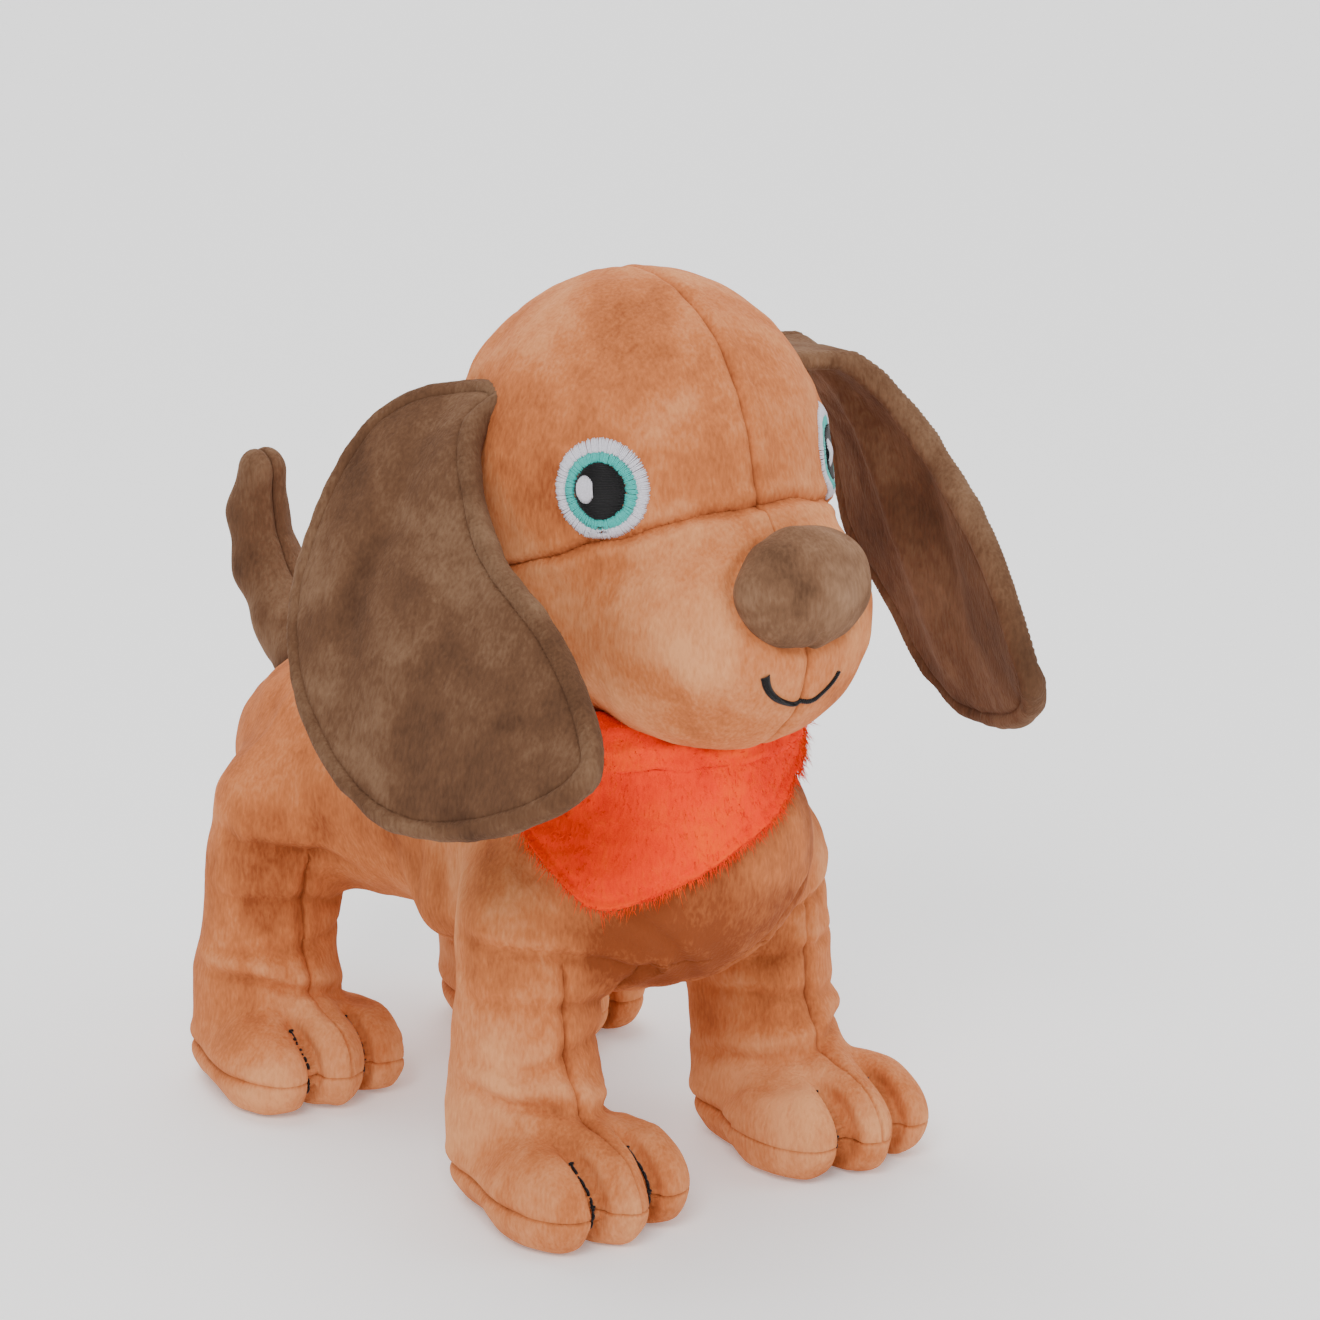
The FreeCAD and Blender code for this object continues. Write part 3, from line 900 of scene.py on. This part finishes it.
def make_toe_threads(corner):
    """Two pulled threads that part the toes, each in short stitches from a knot down towards the sole."""
    hip_x, hip_y = LEGS[corner]
    ahead = hip_y - PAW_REACH[corner.split("_")[0]] - 40
    count = 24
    paths = []
    for side in (-1, 1):
        tall = np.linspace(23, 4, count)
        line = np.stack([np.full(count, hip_x + side * TOE_GAP), np.full(count, ahead), tall], 1)
        line = along_y(body_field, line)
        out = slope(body_field, line)
        lift = 0.9 + 1.4 * np.clip((20 - line[:, 2]) / 10, 0, 1)
        line = line + out * (lift + body_shape(line))[:, None]
        for i in range(0, 20, 3):
            piece = line[i:i + 4].copy()
            piece[1:3] += out[i + 1:i + 3] * 0.2
            paths.append(piece)
        for knot in (0, 13):
            offset = np.linspace(-0.7, 0.7, 4)[:, None] * np.array((1.0, 0, 0))
            paths.append(line[knot] + out[knot] * 0.3 + offset)
    thread_piece(f"leg_{corner}_toe_thread", paths, 0.5, "black_thread", f"leg_{corner}_toe_threads",
                 f"leg_{corner}")


# ---- ears
def smooth_loop(points, parts):
    """A closed Catmull-Rom curve through the points."""
    points = np.asarray(points, float)
    before, after, last = np.roll(points, 1, 0), np.roll(points, -1, 0), np.roll(points, -2, 0)
    made = []
    for t in np.arange(parts) / parts:
        square = (2 * before - 5 * points + 4 * after - last) * t ** 2
        cube = (3 * points - before - 3 * after + last) * t ** 3
        made.append(0.5 * (2 * points + (after - before) * t + square + cube))
    return np.stack(made, 1).reshape(-1, points.shape[1])


EAR_LOOP = smooth_loop(EAR_OUTLINE, 4)
EAR_LENGTH = 117.0
EAR_HALF_THICK = 1.7


def edge_distance(a, d):
    """Signed distance to the ear's outline in its own plane, below zero inside."""
    start, end = EAR_LOOP, np.roll(EAR_LOOP, -1, 0)
    best = np.full(a.shape, 1e9)
    inside = np.zeros(a.shape, bool)
    for (x0, y0), (x1, y1) in zip(start, end):
        ex, ey = x1 - x0, y1 - y0
        h = np.clip(((a - x0) * ex + (d - y0) * ey) / (ex * ex + ey * ey + 1e-12), 0, 1)
        best = np.minimum(best, (a - x0 - h * ex) ** 2 + (d - y0 - h * ey) ** 2)
        if abs(ey) > 1e-9:
            inside ^= ((y0 > d) != (y1 > d)) & (a < ex * (d - y0) / ey + x0)
    return np.where(inside, -1, 1) * np.sqrt(best)


def ear_field(q):
    """The ear laid flat: across, out of its plane, and down."""
    edge = edge_distance(q[..., 0], q[..., 2])
    return carve(edge, np.abs(q[..., 1]) - EAR_HALF_THICK, 1.6)


def ear_shape(q):
    """Soft lumps, a puffed edge and the sewn line inside it."""
    edge = edge_distance(q[:, 0], q[:, 2])
    out = 0.25 * lumps(q * (1, 0.2, 1), 9, seed=30) + 0.35 * lumps(q * (1, 0.2, 1), 22, seed=31)
    return 0.6 * out + 0.7 * bell(edge + 1.2, 1.2) - 1.0 * bell(edge + 3.0, 0.8)


def hang_ear(q, side):
    """From the flat ear to its place: cupped, creased, and drawn in to the skull at its root."""
    a, o, d = q.T
    sag = np.clip(d / EAR_LENGTH, 0, 1)
    out = 5.0 * np.sin(pi * sag) * (1 - ((a + 5) / 60) ** 2)
    out -= 5.5 * fade(d, 13)
    if side == "right":
        out -= 2.6 * bell(a - 14 - 0.06 * d, 6) * bell(d - 42, 34)
        out += 1.6 * bell(a + 8 - 0.1 * d, 9) * bell(d - 60, 40)
    else:
        out += (15.0 * bell(d - 36, 38) + 6.0) * np.clip((d - 2) / 16, 0, 1)
        out -= 5.0 * bell(a - 14 + 0.34 * (d - 40), 5) * bell(d - 55, 36)
        out += 3.0 * bell(a + 12 + 0.3 * (d - 60), 9) * bell(d - 72, 30)
    out += 0.9 * lumps(np.stack([a, d, d * 0], 1), 45, seed=33 if side == "left" else 34)
    across, down = np.array(EAR_ACROSS), np.array(EAR_DOWN)
    outward = np.cross(down, across)
    outward /= np.linalg.norm(outward)
    outward *= np.sign(outward[0])
    drop = d + (5 * sag ** 2 if side == "left" else 0)
    flat = np.array(EAR_ROOT) + a[:, None] * across + drop[:, None] * down
    points = flat + (o + out)[:, None] * outward
    return points if side == "left" else mirrored(points)


def make_ears():
    """Each ear's two layers. The flat ear turns inside out as it is laid on the left."""
    skin = Skin(ear_field, (-68, -5, -4), (47, 5, 122), 0.85, ear_shape)
    front = skin.cut(lambda q: q[:, 1])
    for side in ("left", "right"):
        hung = copy.copy(skin)
        hung.verts = hang_ear(skin.verts, side)
        layers = {"front": front, "back": skin.rest}
        root, end = (np.array(EAR_ROOT) + np.array(EAR_DOWN) * reach for reach in (2, 16))
        if side == "left":
            layers = {layer: tris[:, ::-1] for layer, tris in layers.items()}
        else:
            root, end = mirrored(root), mirrored(end)
        hung.normals = point_normals(hung.verts, np.concatenate(list(layers.values())))
        for layer, tris in layers.items():
            piece = hung.panel(f"ear_{side}_{layer}_plush", tris, THIN_SKIN)
            dress(piece, brown, "brown_plush", f"ear_{side}_{layer}")
            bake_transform(piece)


# ---- the tail
TAIL_FOLDS = (128, 135, 143)


def tail_shape(p):
    """Lumps, the middle seams and the creases inside the tail's bend."""
    x, y, z = p.T
    out = 0.25 * lumps(p, 12, seed=40)
    out += seam_groove(x, 1.0, 0.7, 1.0)
    inner = 1 / (1 + np.exp((y - 172) / 4))
    for fold in TAIL_FOLDS:
        out -= 0.9 * inner * bell(z - fold - 0.3 * (y - 175), 1.5)
    return out


def make_tail():
    """The tail's two panels, baked where they lie; they ride no body."""
    skin = Skin(tail_field, (-17, 130, 86), (17, 206, 172), 0.8, tail_shape)
    skin.cut(lambda p: -3 - torso_field(p))
    left = skin.cut(lambda p: p[:, 0])
    right = skin.rest
    skin.tuck([[left, right]], 0.5)
    for name, tris in (("tail_left_panel", left), ("tail_right_panel", right)):
        piece = skin.panel(f"{name}_plush", tris, THIN_SKIN)
        dress(piece, brown, "brown_plush", name)
        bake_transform(piece)


# ---- the bandana
COLLAR_HEIGHT = 128.0
COLLAR_RADIUS = 38.5
FLAP_TOP = 125.2
FLAP_LAYER = 1.2
PILE_EDGE = 1.5
# The flap's lower edge: degrees from straight ahead towards the dog's right, and the height there.
FLAP_EDGE = [(-54, 127), (-50, 121), (-31, 112.5), (-10, 106.5), (6, 101.5), (21, 95.5), (36, 90.5),
             (49, 86.5), (56, 87), (66, 96), (78, 105), (95, 116), (112, 127)]


def collar_field(p):
    """A soft roll of cloth round the neck, low and thin in front, tall behind, leaning in at its top."""
    x, y = p[..., 0], p[..., 1] - FRONT_HIP_Y - 2
    around = np.arctan2(x, -y)
    behind = 0.5 - 0.5 * np.cos(around)
    level = p[..., 2] - (COLLAR_HEIGHT + 6.5 * behind)
    tall = 6.2 + 3.4 * behind
    away = np.hypot(x, y) - (COLLAR_RADIUS - 0.28 * level)
    thick = 5.2 + 0.3 * np.sin(5 * around + 1)
    share = np.sqrt((away / thick) ** 2 + (level / tall) ** 2)
    return (share - 1) * thick


def collar_shape(p):
    """Folds that run round the collar."""
    around = np.arctan2(p[:, 0], -(p[:, 1] - FRONT_HIP_Y))
    folds = np.sin(1.25 * p[:, 2] + 3 * lumps(p, 30, seed=50) + 1.5 * around)
    return 0.5 * folds + 0.4 * lumps(p, 7, seed=51)


def flap_lower(angle):
    """The height of the flap's lower edge at an angle, with its corners softened."""
    angles, heights = np.array(FLAP_EDGE, float).T
    straight = np.interp(angle, angles, heights)
    soft = sum(np.interp(angle + shift, angles, heights) for shift in (-3, -1.5, 1.5, 3)) / 4
    return 0.5 * (straight + soft)


def flap_place(angle, height, lift):
    """A point of the flap: hanging from the collar, or lying on the chest where that is further out."""
    turn = np.radians(angle)
    away = np.stack([-np.sin(turn), -np.cos(turn), 0 * turn], -1)
    middle = np.stack([0 * turn, 0 * turn + FRONT_HIP_Y + 1.5, height], -1)
    radius = np.full(angle.shape, 60.0)
    for _ in range(40):
        radius = radius - 0.8 * (body_field(middle + away * radius[..., None]) - 2.0)
    hang = 40.0 - 0.12 * (height - 122)
    both = np.maximum(radius, hang) + 0.6 * np.exp(-np.abs(radius - hang) / 2)
    return middle + away * (both + lift)[..., None]


def make_collar():
    skin = Skin(collar_field, (-50, -44, 114), (50, 58, 150), 0.9, collar_shape)
    piece = make_mesh("bandana_collar_plush", skin.verts, skin.tris.tolist(), skin.normals)
    dress(piece, orange, "orange_plush", "bandana_collar")
    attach(piece, "bandana")
    return skin


def closed_sheet(outer, inner):
    """The quads of two grids of points, joined round their edges."""
    rows, columns = outer.shape[:2]
    index = np.arange(rows * columns).reshape(rows, columns)
    quads = np.stack([index[:-1, :-1], index[:-1, 1:], index[1:, 1:], index[1:, :-1]], -1).reshape(-1, 4)
    ring = np.concatenate([index[:, 0], index[-1, 1:], index[-2::-1, -1], index[0, -2:0:-1]])
    after = np.roll(ring, -1)
    sides = np.stack([ring, after, after + rows * columns, ring + rows * columns], 1)
    faces = np.concatenate([quads, quads[:, ::-1] + rows * columns, sides])
    return np.concatenate([outer.reshape(-1, 3), inner.reshape(-1, 3)]), faces.tolist()


def make_flap(collar):
    """The flap of two layers with its sewn hem, and the bandana's pile."""
    across = np.linspace(FLAP_EDGE[0][0], FLAP_EDGE[-1][0], 150)
    angle, share = np.meshgrid(across, np.linspace(0, 1, 46), indexing="ij")
    top = FLAP_TOP - 2.5 * np.cos(np.radians(angle))
    low = np.minimum(flap_lower(angle), top - 1.5)
    height = top + (low - top) * share
    spots = np.stack([angle, height, share * 0], -1).reshape(-1, 3)
    drape = 1.0 * lumps(spots, 32, seed=52).reshape(angle.shape)
    drape += 0.8 * np.cos(np.radians(angle) * 9 + 1.0) * share
    rim = height - low
    hem = 0.5 * bell(rim - 1.2, 1.3) - 0.7 * bell(rim - 3.0, 0.9)
    rough = 0.3 * lumps(spots, 5, seed=53).reshape(angle.shape)
    outer = flap_place(angle, height, FLAP_LAYER * 2 + drape + hem + rough)
    inner = flap_place(angle, height, drape * 0.6)
    thin = np.clip(rim / 1.2, 0.25, 1)[..., None]
    middle = (outer + inner) / 2
    outer, inner = middle + (outer - middle) * thin, middle + (inner - middle) * thin
    flap = make_mesh("bandana_flap_plush", *closed_sheet(outer, inner))
    dress(flap, orange, "orange_plush", "bandana_flap")
    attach(flap, "bandana")
    tufts = make_pile(outer, rim, collar)
    dress(tufts, orange_pile, "orange_plush")
    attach(tufts, "bandana")


def cones(name, roots, tips, width):
    """Thin closed three-sided tufts, one mesh."""
    ahead = tips - roots
    ahead = ahead / (length(ahead)[:, None] + 1e-9)
    helper = np.where(np.abs(ahead[:, 2:3]) < 0.9, np.array((0, 0, 1.0)), np.array((1.0, 0, 0)))
    first = np.cross(ahead, helper)
    first /= length(first)[:, None]
    second = np.cross(ahead, first)
    turns = (0, 2.094, 4.189)
    corners = [roots + width * (cos(t) * first + sin(t) * second) for t in turns]
    verts = np.stack([*corners, tips], 1).reshape(-1, 3)
    base = 4 * np.arange(len(roots))[:, None]
    faces = np.concatenate([base + np.array(f) for f in ((0, 1, 3), (1, 2, 3), (2, 0, 3), (0, 2, 1))])
    return make_mesh(name, verts, faces.tolist())


def make_pile(outer, rim, collar):
    """Long pile: dense along the flap's edge, sparser over its face and the roll."""
    pick = np.random.default_rng(60)
    flat, rim = outer.reshape(-1, 3), rim.reshape(-1)
    out = flat - np.array((0, FRONT_HIP_Y, 0))
    out[:, 2] = 0
    out /= length(out)[:, None]
    chance = np.where(rim < PILE_EDGE, 1.0, 0.16)
    chosen = np.repeat(np.arange(len(flat)), 2)
    chosen = chosen[pick.random(len(chosen)) < chance[chosen]]
    roots = flat[chosen] + pick.normal(0, 0.4, (len(chosen), 3)) - out[chosen] * 0.3
    near_edge = (rim[chosen] < PILE_EDGE)[:, None]
    droop = np.where(near_edge, (0, 0, -1.0), (0, 0, -0.75))
    lean = out[chosen] * np.where(near_edge, 0.35, 0.5) + droop + pick.normal(0, 0.35, (len(chosen), 3))
    long = pick.uniform(1.4, 3.4, len(chosen))[:, None] * np.where(near_edge, 1.0, 0.62)
    tips = roots + lean * long
    share = pick.choice(len(collar.verts), 2600, replace=False)
    more = collar.verts[share]
    roots = np.concatenate([roots, more])
    tilt = collar.normals[share] * 0.8 + pick.normal(0, 0.5, (len(share), 3))
    tips = np.concatenate([tips, more + tilt * pick.uniform(1.0, 2.0, len(share))[:, None]])
    return cones("bandana_pile", roots, tips, 0.16)


# ---- stuffing and neck
def lumpy(field, depth):
    """A filling's field: that far inside another, with an uneven surface."""
    return lambda p: field(p) + depth + 0.5 * lumps(p.reshape(-1, 3), 15, seed=70).reshape(p.shape[:-1])


def head_filling(p):
    """The head without the hollow in which the neck turns."""
    hollow = 25 - np.hypot(p[..., 0], p[..., 1] - 8) + np.maximum(p[..., 2] - 152, 0)
    return carve(head_whole(p), hollow, 3)


def tail_filling(p):
    """The tail above its bend."""
    return carve(tail_field(p), 186 - p[..., 1] - 0.8 * (p[..., 2] - 115), 2)


def neck_filling(p):
    return limb(p, (0, 8, 138), (0, 8, 144), 20, 20)


def make_stuffing():
    """Loose fibre filling under the skins, one closed lump in each body."""
    add_fill("torso_stuffing", lumpy(torso_field, 4), (-50, -44, 50), (50, 176, 138), "torso")
    add_fill("head_stuffing", lumpy(head_filling, 4), (-52, -64, 122), (52, 66, 248), "head")
    add_fill("neck_stuffing", neck_filling, (-23, -16, 114), (23, 32, 168), "neck")
    add_fill("tail_stuffing", lumpy(tail_filling, 3.4), (-16, 140, 96), (16, 206, 168), "tail")
    for corner, (hip_x, hip_y) in LEGS.items():
        pair = corner.split("_")[0]

        def below_hip(p):
            flipped = p * np.array((leg_side(corner), 1, 1), p.dtype)
            return carve(leg_field(flipped, *LEGS[f"{pair}_left"], PAW_REACH[pair]), p[..., 2] - 50, 3)
        low, high = (hip_x - 28, hip_y - PAW_REACH[pair] - 32, -1), (hip_x + 28, hip_y + 26, 60)
        add_fill(f"leg_{corner}_stuffing", lumpy(below_hip, 5.5), low, high, f"leg_{corner}")


def add_fill(node, field, low, high, body):
    """One filling, in coarse cells, because it is hardly seen."""
    skin = Skin(field, low, high, 3.0)
    piece = make_mesh(f"{node}_fill", skin.verts, skin.tris.tolist(), skin.normals)
    dress(piece, filling, "stuffing", node)
    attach(piece, body)


# ---- light, floor and camera
CAMERA_TURN = -38.0
CAMERA_RISE = 15.0
CAMERA_AWAY = 1200.0
CAMERA_TARGET = (0.0, 0.0, 142.5)
SENSOR = 36.0
# The lens's focal length over the picture's width.
FOCAL_SHARE = 38 / 11
LIGHT_TARGET = Vector((0, 0.04, 0.11))


def light(name, place, energy, size):
    lamp = bpy.data.lights.new(name, "AREA")
    lamp.energy = energy
    lamp.size = size
    holder = add_object(name, lamp)
    holder.location = place
    holder.rotation_euler = (LIGHT_TARGET - Vector(place)).to_track_quat("-Z", "Y").to_euler()
    holder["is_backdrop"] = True


def make_studio():
    """White paper that runs up behind the dog in a round bend, three soft lights and a pale world."""
    bend, reach, rise = 0.6, 6.0, 2.6
    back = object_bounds()[1].y + 0.5
    turns = np.linspace(0, pi / 2, 14)
    profile = [(-reach, 0.0)] + [(back + bend * sin(t), bend * (1 - cos(t))) for t in turns]
    profile.append((back + bend, rise))
    turn = radians(CAMERA_TURN)
    verts = [(x * cos(turn) - y * sin(turn), x * sin(turn) + y * cos(turn), z)
             for x in (-4, 4) for y, z in profile]
    count = len(profile)
    faces = [(i, i + 1, count + i + 1, count + i) for i in range(count - 1)]
    mesh = bpy.data.meshes.new("backdrop")
    mesh.from_pydata(verts, [], faces)
    mesh.shade_smooth()
    floor = add_object("backdrop", mesh)
    paper, _, _, shader = new_material("paper")
    set_inputs(shader, {"Base Color": tone((250, 250, 250)), "Roughness": 0.9,
                        "Emission Color": (1, 1, 1, 1), "Emission Strength": 0.2})
    mesh.materials.append(paper)
    floor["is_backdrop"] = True
    light("key", (-1.0, -1.0, 1.3), 22, 0.8)
    light("fill", (1.2, -1.1, 0.7), 10, 1.2)
    light("top", (0.1, 0.5, 1.6), 14, 1.2)
    world = bpy.data.worlds.new("studio")
    world.use_nodes = True
    set_inputs(world.node_tree.nodes["Background"], {"Color": (1, 1, 1, 1), "Strength": 0.6})
    bpy.context.scene.world = world


def make_camera():
    turn, rise = radians(CAMERA_TURN), radians(CAMERA_RISE)
    back = Vector((sin(turn) * cos(rise), -cos(turn) * cos(rise), sin(rise)))
    data = bpy.data.cameras.new("camera")
    data.sensor_width = SENSOR
    data.lens = SENSOR * FOCAL_SHARE
    camera = add_object("camera", data)
    target = Vector(to_frame(CAMERA_TARGET))
    camera.location = target + back * (CAMERA_AWAY / 1000)
    camera.rotation_euler = back.to_track_quat("Z", "Y").to_euler()
    bpy.context.scene.camera = camera


make_body()
make_head()
for eye_side in ("left", "right"):
    make_eye(eye_side)
make_mouth()
for leg in LEGS:
    make_toe_threads(leg)
make_ears()
make_tail()
make_flap(make_collar())
make_stuffing()
make_studio()
make_camera()
